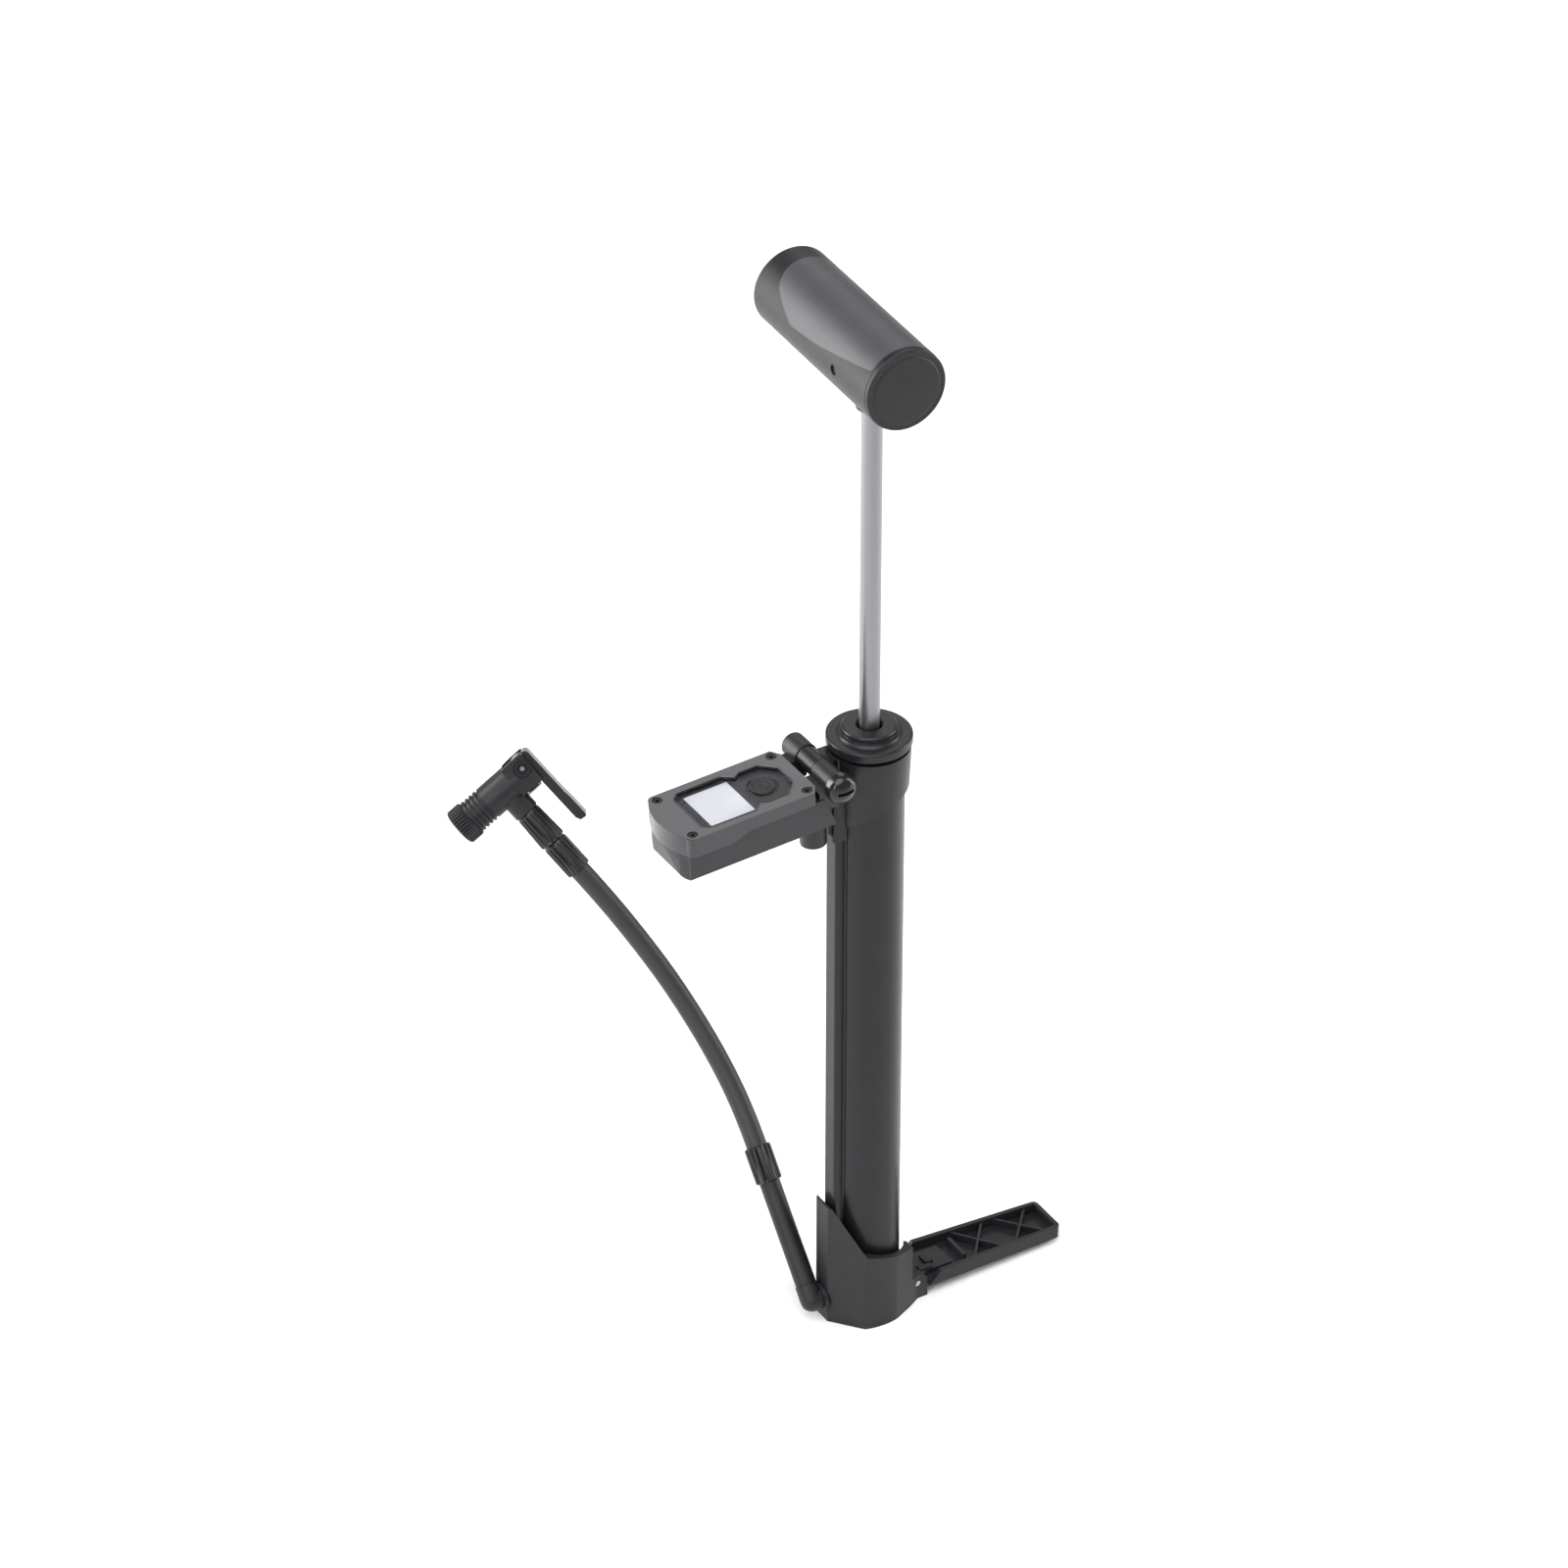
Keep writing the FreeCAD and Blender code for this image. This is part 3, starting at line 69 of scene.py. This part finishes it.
def surface(
    name,
    colour,
    rough,
    metal=0.0,
    grain=0.0,
    grain_size=0.4,
    vary=0.12,
    coat=0.0,
    streak=None,
    specular=0.5,
):
    """A material with mottled colour, uneven roughness and a fine surface grain (sizes in mm)."""
    material = bpy.data.materials.new(name)
    material.use_nodes = True
    tree = material.node_tree
    shader = tree.nodes["Principled BSDF"]
    shader.inputs["Metallic"].default_value = metal
    shader.inputs["Specular IOR Level"].default_value = specular
    if coat:
        shader.inputs["Coat Weight"].default_value = coat
        shader.inputs["Coat Roughness"].default_value = 0.08
    place = tree.nodes.new("ShaderNodeTexCoord")
    stretch = tree.nodes.new("ShaderNodeMapping")
    stretch.inputs["Scale"].default_value = streak or (1, 1, 1)
    tree.links.new(place.outputs["Object"], stretch.inputs["Vector"])

    broad = tree.nodes.new("ShaderNodeTexNoise")
    broad.inputs["Scale"].default_value = 60.0
    broad.inputs["Detail"].default_value = 4.0
    tree.links.new(stretch.outputs["Vector"], broad.inputs["Vector"])
    tint = tree.nodes.new("ShaderNodeValToRGB")
    low = [max(0.0, c * (1 - vary)) for c in colour]
    high = [min(1.0, c * (1 + vary)) for c in colour]
    tint.color_ramp.elements[0].position = 0.3
    tint.color_ramp.elements[0].color = (*low, 1)
    tint.color_ramp.elements[1].position = 0.7
    tint.color_ramp.elements[1].color = (*high, 1)
    tree.links.new(broad.outputs["Fac"], tint.inputs["Fac"])
    tree.links.new(tint.outputs["Color"], shader.inputs["Base Color"])

    fine = tree.nodes.new("ShaderNodeTexNoise")
    fine.inputs["Scale"].default_value = 1000.0 / grain_size
    fine.inputs["Detail"].default_value = 3.0
    tree.links.new(stretch.outputs["Vector"], fine.inputs["Vector"])
    gloss = tree.nodes.new("ShaderNodeMapRange")
    gloss.inputs["To Min"].default_value = max(0.02, rough - 0.06)
    gloss.inputs["To Max"].default_value = min(1.0, rough + 0.08)
    tree.links.new(fine.outputs["Fac"], gloss.inputs["Value"])
    tree.links.new(gloss.outputs["Result"], shader.inputs["Roughness"])
    if grain:
        bump = tree.nodes.new("ShaderNodeBump")
        bump.inputs["Strength"].default_value = grain
        bump.inputs["Distance"].default_value = 0.00012
        tree.links.new(fine.outputs["Fac"], bump.inputs["Height"])
        tree.links.new(bump.outputs["Normal"], shader.inputs["Normal"])
    return material


def clear_cover(name):
    """The gauge's clear window: a thin glossy pane."""
    material = surface(name, (0.9, 0.9, 0.92), 0.06, vary=0.02)
    shader = material.node_tree.nodes["Principled BSDF"]
    shader.inputs["Transmission Weight"].default_value = 1.0
    shader.inputs["IOR"].default_value = 1.1
    shader.inputs["Specular IOR Level"].default_value = 0.15
    return material


LOOKS = {
    "barrel_black": surface("barrel_black", (0.012, 0.012, 0.014), 0.30, 0.30, 0.10, 0.3, specular=0.4),
    "satin_black": surface("satin_black", (0.011, 0.011, 0.013), 0.34, 0.10, 0.25, 0.35, specular=0.36),
    "dark_plastic": surface("dark_plastic", (0.013, 0.013, 0.015), 0.42, 0.0, 0.45, 0.35, specular=0.32),
    "rod_silver": surface(
        "rod_silver", (0.27, 0.27, 0.283), 0.30, 0.95, 0.10, 0.2, 0.05, streak=(1, 1, 0.06)
    ),
    "grip_grey": surface("grip_grey", (0.050, 0.049, 0.054), 0.44, 0.0, 0.35, 0.5, 0.06),
    "gauge_gloss": surface("gauge_gloss", (0.022, 0.022, 0.026), 0.24, 0.1, 0.04, 0.4, coat=0.35),
    "gauge_grey": surface("gauge_grey", (0.018, 0.019, 0.021), 0.40, 0.0, 0.35, 0.3, specular=0.36),
    "lens_dark": clear_cover("lens_dark"),
    "display_grey": surface("display_grey", (0.60, 0.61, 0.64), 0.35, grain_size=0.25, vary=0.04, coat=0.3),
    "screw_black": surface("screw_black", (0.03, 0.03, 0.03), 0.35, 0.8, 0.1, 0.2),
    "steel": surface("steel", (0.46, 0.46, 0.47), 0.30, 1.0, 0.08, 0.2),
    "dark_metal": surface("dark_metal", (0.012, 0.012, 0.014), 0.20, 0.2, 0.12, 0.25),
    "lever_metal": surface("lever_metal", (0.022, 0.022, 0.025), 0.30, 0.3, 0.15, 0.25),
    "hose_rubber": surface("hose_rubber", (0.016, 0.016, 0.018), 0.48, 0.0, 0.30, 0.4),
    "rubber_black": surface("rubber_black", (0.014, 0.014, 0.016), 0.60, 0.0, 0.30, 0.4),
    "brass": surface("brass", (0.55, 0.40, 0.17), 0.28, 1.0, 0.08, 0.3),
    "white_plastic": surface("white_plastic", (0.72, 0.72, 0.69), 0.45, 0.0, 0.1, 0.4, 0.04),
    "board_green": surface("board_green", (0.02, 0.16, 0.07), 0.4, 0.0, 0.3, 0.5),
}


def dress(piece, look):
    piece.data.materials.clear()
    piece.data.materials.append(LOOKS[look])


for name, thing in nodes.items():
    dress(thing, slots[name])
dress(nodes["handle_pin"], "screw_black")
dress(nodes["head_nipple"], "dark_metal")


# ---------------------------------------------------------------- mesh helpers


def add(name, mesh, body, look):
    """A new piece of a mesh, riding on a body and taking its finish from a slot."""
    piece = bpy.data.objects.new(name, mesh)
    bpy.context.scene.collection.objects.link(piece)
    dress(piece, look)
    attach(piece, body)
    return piece


def soften(piece, width, segments=2, angle=32.0):
    """Rounds a piece's sharp edges so that they catch the light."""
    piece.data.shade_smooth()
    bevel = piece.modifiers.new("edges", "BEVEL")
    bevel.width = width * MM
    bevel.segments = segments
    bevel.limit_method = "ANGLE"
    bevel.angle_limit = math.radians(angle)
    bevel.miter_outer = "MITER_ARC"
    weigh = piece.modifiers.new("flats", "WEIGHTED_NORMAL")
    weigh.weight = 90
    weigh.keep_sharp = True
    return piece


def rounded(node, width, segments=2, merge=True):
    """A CAD piece's twin with rounded edges, shown in its place.

    merge joins flat faces before the edges are rounded. It is off for the gauge's cover, where
    rounding a joined face closes the window over.
    """
    mesh = bmesh.new()
    mesh.from_mesh(nodes[node].data)
    bmesh.ops.remove_doubles(mesh, verts=mesh.verts, dist=2e-6)
    if merge:
        bmesh.ops.dissolve_limit(mesh, angle_limit=math.radians(0.6), verts=mesh.verts, edges=mesh.edges)
    data = bpy.data.meshes.new(node + "_twin")
    mesh.to_mesh(data)
    mesh.free()
    piece = add(node + "_twin", data, body_names[node], slots[node])
    soften(piece, width, segments)
    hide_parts(node)
    return piece


def lathe(name, profile, body, look, matrix, segments=64, ripple=None):
    """A turned ring from a closed profile of (radius, along, rippled) in mm, about local Z.

    ripple is (count, depth): the rippled points sink by up to the depth between teeth.
    """
    mesh = bmesh.new()
    rings = []
    for step in range(segments):
        angle = 2 * math.pi * step / segments
        ring = []
        for radius, along, rippled in profile:
            if rippled and ripple:
                wave = 0.5 + 0.5 * math.cos(ripple[0] * angle)
                radius = radius - ripple[1] * (1 - wave) ** 1.5
            point = Vector((radius * math.cos(angle), radius * math.sin(angle), along)) * MM
            ring.append(mesh.verts.new(matrix @ point))
        rings.append(ring)
    count = len(profile)
    for step in range(segments):
        here = rings[step]
        there = rings[(step + 1) % segments]
        for index in range(count):
            following = (index + 1) % count
            corners = (here[index], there[index], there[following], here[following])
            if profile[index][0] > 1e-6 or profile[following][0] > 1e-6:
                mesh.faces.new(corners)
    bmesh.ops.remove_doubles(mesh, verts=mesh.verts, dist=1e-7)
    bmesh.ops.recalc_face_normals(mesh, faces=mesh.faces)
    data = bpy.data.meshes.new(name)
    mesh.to_mesh(data)
    mesh.free()
    piece = add(name, data, body, look)
    piece.data.shade_smooth()
    piece.data.set_sharp_from_angle(angle=math.radians(35))
    return piece


def flat_plate(name, outlines, low, high, body, look, matrix):
    """A flat plate from closed outlines in mm; the inner outlines are holes."""
    curve = bpy.data.curves.new(name, "CURVE")
    curve.dimensions = "2D"
    curve.fill_mode = "BOTH"
    curve.extrude = (high - low) / 2 * MM
    for outline in outlines:
        spline = curve.splines.new("POLY")
        spline.points.add(len(outline) - 1)
        for point, (x, y) in zip(spline.points, outline):
            point.co = (x * MM, y * MM, 0, 1)
        spline.use_cyclic_u = True
    source = bpy.data.objects.new(name + "_curve", curve)
    bpy.context.scene.collection.objects.link(source)
    bpy.context.view_layer.update()
    graph = bpy.context.evaluated_depsgraph_get()
    data = bpy.data.meshes.new_from_object(source.evaluated_get(graph))
    bpy.data.objects.remove(source)
    data.transform(matrix @ Matrix.Translation((0, 0, (low + high) / 2 * MM)))
    piece = add(name, data, body, look)
    piece.data.shade_smooth()
    piece.data.set_sharp_from_angle(angle=math.radians(30))
    return piece


def circle(x, y, radius, count=48):
    return [
        (x + radius * math.cos(2 * math.pi * k / count), y + radius * math.sin(2 * math.pi * k / count))
        for k in range(count)
    ]


def axes_at(origin, x_axis, y_axis, z_axis):
    """The matrix of a local frame."""
    columns = Matrix((x_axis, y_axis, z_axis)).transposed().to_4x4()
    return Matrix.Translation(origin) @ columns


# ---------------------------------------------------------------- local frames from the joints

head_z = Vector(joints["head_swivel"]["axis"]).normalized()
head_x = -Vector(joints["cap_turn"]["axis"]).normalized()
head_y = head_z.cross(head_x)
head_origin = Vector(joints["head_swivel"]["pos_m"]) - head_z * 15.35 * MM
HEAD = axes_at(head_origin, head_x, head_y, head_z)
CROSS = HEAD @ Matrix.Translation((0, 0, 43.9 * MM)) @ Matrix.Rotation(math.radians(90), 4, "Y")

gauge_down = Vector(joints["button_press"]["axis"]).normalized()
gauge_z = -gauge_down
gauge_y = Vector((0, 1, 0))
gauge_x = gauge_y.cross(gauge_z)
GAUGE = axes_at(Vector(joints["gauge_tilt"]["pos_m"]), gauge_x, gauge_y, gauge_z)

tilt = math.radians(-40.7)
elbow_height = 9.6 * MM
LEAN = (
    Matrix.Translation((0, 0, elbow_height))
    @ Matrix.Rotation(tilt, 4, "X")
    @ Matrix.Translation((0, 0, -elbow_height))
)


# ---------------------------------------------------------------- hose

HOSE_ROUTE = (
    (-24.4, 74.4),
    (-24.4, 91.0),
    (-28.1, 117.5),
    (-35.2, 146.4),
    (-43.0, 169.0),
    (-50.6, 188.0),
    (-56.5, 200.8),
)
hose_curve = bpy.data.curves.new("hose_line", "CURVE")
hose_curve.dimensions = "3D"
hose_curve.bevel_depth = 4.2 * MM
hose_curve.bevel_resolution = 10
hose_curve.use_fill_caps = True
hose_curve.resolution_u = 24
spline = hose_curve.splines.new("NURBS")
spline.points.add(len(HOSE_ROUTE) - 1)
for point, (x, z) in zip(spline.points, HOSE_ROUTE):
    spot = LEAN @ Vector((x * MM, 0, z * MM))
    point.co = (*spot, 1)
spline.order_u = 3
spline.use_endpoint_u = True
hose = add("hose_line", hose_curve, "hose_unit", "hose_rubber")
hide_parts("air_hose")


# ---------------------------------------------------------------- twins with rounded edges

rounded("barrel", 0.5)
rounded("top_cap", 0.25)
rounded("gauge_bracket", 0.35)
rounded("base_housing", 0.5)
rounded("foot_pedal", 0.25)
rounded("handle_core", 0.4)
rounded("handle_grip", 0.35)
rounded("handle_cap", 0.25)
rounded("rod_end", 0.3)
rounded("gauge_cover", 0.45, 3, merge=False)
rounded("gauge_case", 0.4)
rounded("hinge_bolt", 0.25)
rounded("swivel_elbow", 0.25)
rounded("riser_pipe", 0.2)
head = rounded("head_body", 0.35)
lever = rounded("lock_lever", 0.35)


# ---------------------------------------------------------------- ribbed sleeves

RIBS = (16, 0.75)
RIB_STEPS = 160

coupler = lathe(
    "ribbed_coupler",
    [
        (4.25, 59.4, False),
        (4.8, 59.4, False),
        (5.2, 59.7, False),
        (5.4, 60.3, True),
        (5.4, 73.4, True),
        (5.2, 74.1, False),
        (4.8, 74.4, False),
        (4.25, 74.4, False),
    ],
    "hose_unit",
    "dark_metal",
    LEAN @ Matrix.Translation((-24.4 * MM, 0, 0)),
    RIB_STEPS,
    RIBS,
)
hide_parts("hose_coupler")
ferrule = lathe(
    "ribbed_ferrule",
    [
        (1.5, 0.0, False),
        (4.6, 0.0, False),
        (5.1, 0.3, False),
        (5.3, 0.9, True),
        (5.3, 13.6, True),
        (5.1, 14.6, False),
        (4.7, 15.2, False),
        (1.5, 15.2, False),
    ],
    "hose_unit",
    "dark_metal",
    HEAD,
    RIB_STEPS,
    RIBS,
)
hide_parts("hose_ferrule")
nut = lathe(
    "ribbed_nut",
    [
        (2.85, 15.5, False),
        (5.1, 15.5, False),
        (5.5, 15.8, False),
        (5.6, 16.4, True),
        (5.1, 29.4, True),
        (4.95, 30.4, False),
        (4.7, 31.0, False),
        (2.85, 31.0, False),
    ],
    "valve_head",
    "dark_metal",
    HEAD,
    RIB_STEPS,
    RIBS,
)
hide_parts("swivel_nut")
for side in (-1, 1):
    pin_centre = Matrix.Translation((11.0 * MM, 0, 45.9 * MM))
    place = HEAD @ pin_centre @ Matrix.Rotation(math.radians(-90 * side), 4, "X")
    eye = lathe(
        "lever_eye_near" if side < 0 else "lever_eye_far",
        [(0.9, 7.3, False), (1.1, 7.62, False), (2.3, 7.62, False), (2.5, 7.3, False), (3.0, 7.3, False),
         (3.2, 7.6, False), (3.6, 7.6, False), (3.75, 7.3, False), (3.7, 7.0, False)],
        "valve_head",
        "dark_metal",
        place,
        48,
    )


# ---------------------------------------------------------------- gauge face and button

DISPLAY_HOLE = [(-52.0, -10.6), (-33.4, -10.6), (-33.4, 10.6), (-52.0, 10.6)]
WINDOW = [
    (-53.2, -12.2),
    (-34.5, -12.2),
    (-30.5, -9.0),
    (-28.0, -10.6),
    (-19.6, -10.6),
    (-14.4, -5.3),
    (-14.4, 5.3),
    (-19.6, 10.6),
    (-28.0, 10.6),
    (-30.5, 9.0),
    (-34.5, 12.2),
    (-53.2, 12.2),
    (-55.8, 9.6),
    (-55.8, -9.6),
]
face_openings = [WINDOW, DISPLAY_HOLE, circle(-24.0, 0, 6.3)]
flat_plate("face_mask", face_openings, -0.9, 0.04, "gauge", "gauge_grey", GAUGE)
key = lathe(
    "power_key",
    [
        (0.0, -1.1, False),
        (6.0, -1.1, False),
        (6.0, -0.4, False),
        (5.1, -0.3, False),
        (5.05, 1.05, False),
        (4.75, 1.25, False),
        (4.1, 1.3, False),
        (3.7, 0.95, False),
        (2.5, 0.9, False),
        (2.2, 1.25, False),
        (1.7, 1.35, False),
        (1.3, 1.05, False),
        (0.0, 1.0, False),
    ],
    "power_button",
    "rubber_black",
    GAUGE @ Matrix.Translation((-24.0 * MM, 0, 0)),
    64,
)
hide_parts("gauge_button")


def grown(outline, amount):
    """An outline moved outwards from its own middle by about the amount in mm."""
    middle_x = sum(x for x, y in outline) / len(outline)
    middle_y = sum(y for x, y in outline) / len(outline)
    moved = []
    for x, y in outline:
        away = Vector((x - middle_x, y - middle_y))
        away += away.normalized() * amount
        moved.append((middle_x + away.x, middle_y + away.y))
    return moved


def lip(name, inner, outer, low, high, body, look, matrix):
    """A raised rim between two outlines of as many points, its top sloping to the inner one."""
    mesh = bmesh.new()
    sections = []
    for (inner_x, inner_y), (outer_x, outer_y) in zip(inner, outer):
        crest_x = inner_x + (outer_x - inner_x) * 0.6
        crest_y = inner_y + (outer_y - inner_y) * 0.6
        corners = (
            (inner_x, inner_y, low),
            (crest_x, crest_y, high),
            (outer_x, outer_y, high),
            (outer_x, outer_y, low),
        )
        sections.append([mesh.verts.new(matrix @ (Vector(corner) * MM)) for corner in corners])
    for step in range(len(sections)):
        here = sections[step]
        there = sections[(step + 1) % len(sections)]
        for index in range(4):
            following = (index + 1) % 4
            mesh.faces.new((here[index], there[index], there[following], here[following]))
    bmesh.ops.recalc_face_normals(mesh, faces=mesh.faces)
    data = bpy.data.meshes.new(name)
    mesh.to_mesh(data)
    mesh.free()
    return add(name, data, body, look)


lip("window_lip", grown(WINDOW, 0.25), grown(WINDOW, 0.95), 1.86, 2.12, "gauge", "gauge_gloss", GAUGE)


# ---------------------------------------------------------------- valve head cap

cap = lathe(
    "knurled_cap",
    [
        (4.3, -21.9, False),
        (4.3, -24.1, False),
        (4.6, -24.35, False),
        (6.6, -24.35, False),
        (7.35, -24.1, True),
        (7.75, -23.6, True),
        (7.8, -23, True),
        (7.8, -19, True),
        (7.75, -18.4, True),
        (7.35, -17.9, True),
        (6.9, -17.7, False),
        (6.85, -17.7, False),
        (6.85, -21.9, False),
    ],
    "head_cap",
    "dark_plastic",
    CROSS,
    36 * 8,
    (36, 0.62),
)
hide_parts("valve_cap")


# ---------------------------------------------------------------- floor and light

floor_mesh = bmesh.new()
bmesh.ops.create_grid(floor_mesh, x_segments=1, y_segments=1, size=30.0)
floor_data = bpy.data.meshes.new("floor")
floor_mesh.to_mesh(floor_data)
floor_mesh.free()
floor = bpy.data.objects.new("floor", floor_data)
bpy.context.scene.collection.objects.link(floor)
floor_data.materials.append(surface("floor_pale", (0.86, 0.86, 0.86), 0.75, vary=0.01, grain_size=5))

world = bpy.data.worlds.new("studio")
world.use_nodes = True
world.node_tree.nodes["Background"].inputs["Color"].default_value = (1, 1, 1, 1)
world.node_tree.nodes["Background"].inputs["Strength"].default_value = 0.28
bpy.context.scene.world = world
bpy.context.scene.view_settings.view_transform = "Standard"


def softbox(name, place, aim, width, height, power):
    """A rectangular studio light that faces a point."""
    data = bpy.data.lights.new(name, "AREA")
    data.shape = "RECTANGLE"
    data.size = width
    data.size_y = height
    data.energy = power
    light = bpy.data.objects.new(name, data)
    light.location = place
    light.rotation_euler = (Vector(aim) - Vector(place)).to_track_quat("-Z", "Y").to_euler()
    bpy.context.scene.collection.objects.link(light)


sky = bpy.data.lights.new("overhead", "SUN")
sky.energy = 2.75
sky.angle = math.radians(60)
overhead = bpy.data.objects.new("overhead", sky)
overhead.rotation_euler = (math.radians(18), math.radians(-14), 0)
bpy.context.scene.collection.objects.link(overhead)
softbox("left", (-0.95, 0.85, 0.65), (0, 0, 0.25), 0.4, 1.3, 20)
softbox("right", (1.2, -0.42, 0.65), (0, 0, 0.25), 0.4, 1.3, 11)
softbox("front", (-1.5, -0.9, 0.9), (0, 0, 0.25), 0.25, 1.0, 9)
softbox("back", (0.94, 1.56, 1.53), (0, 0, 0.3), 1.1, 0.6, 4)
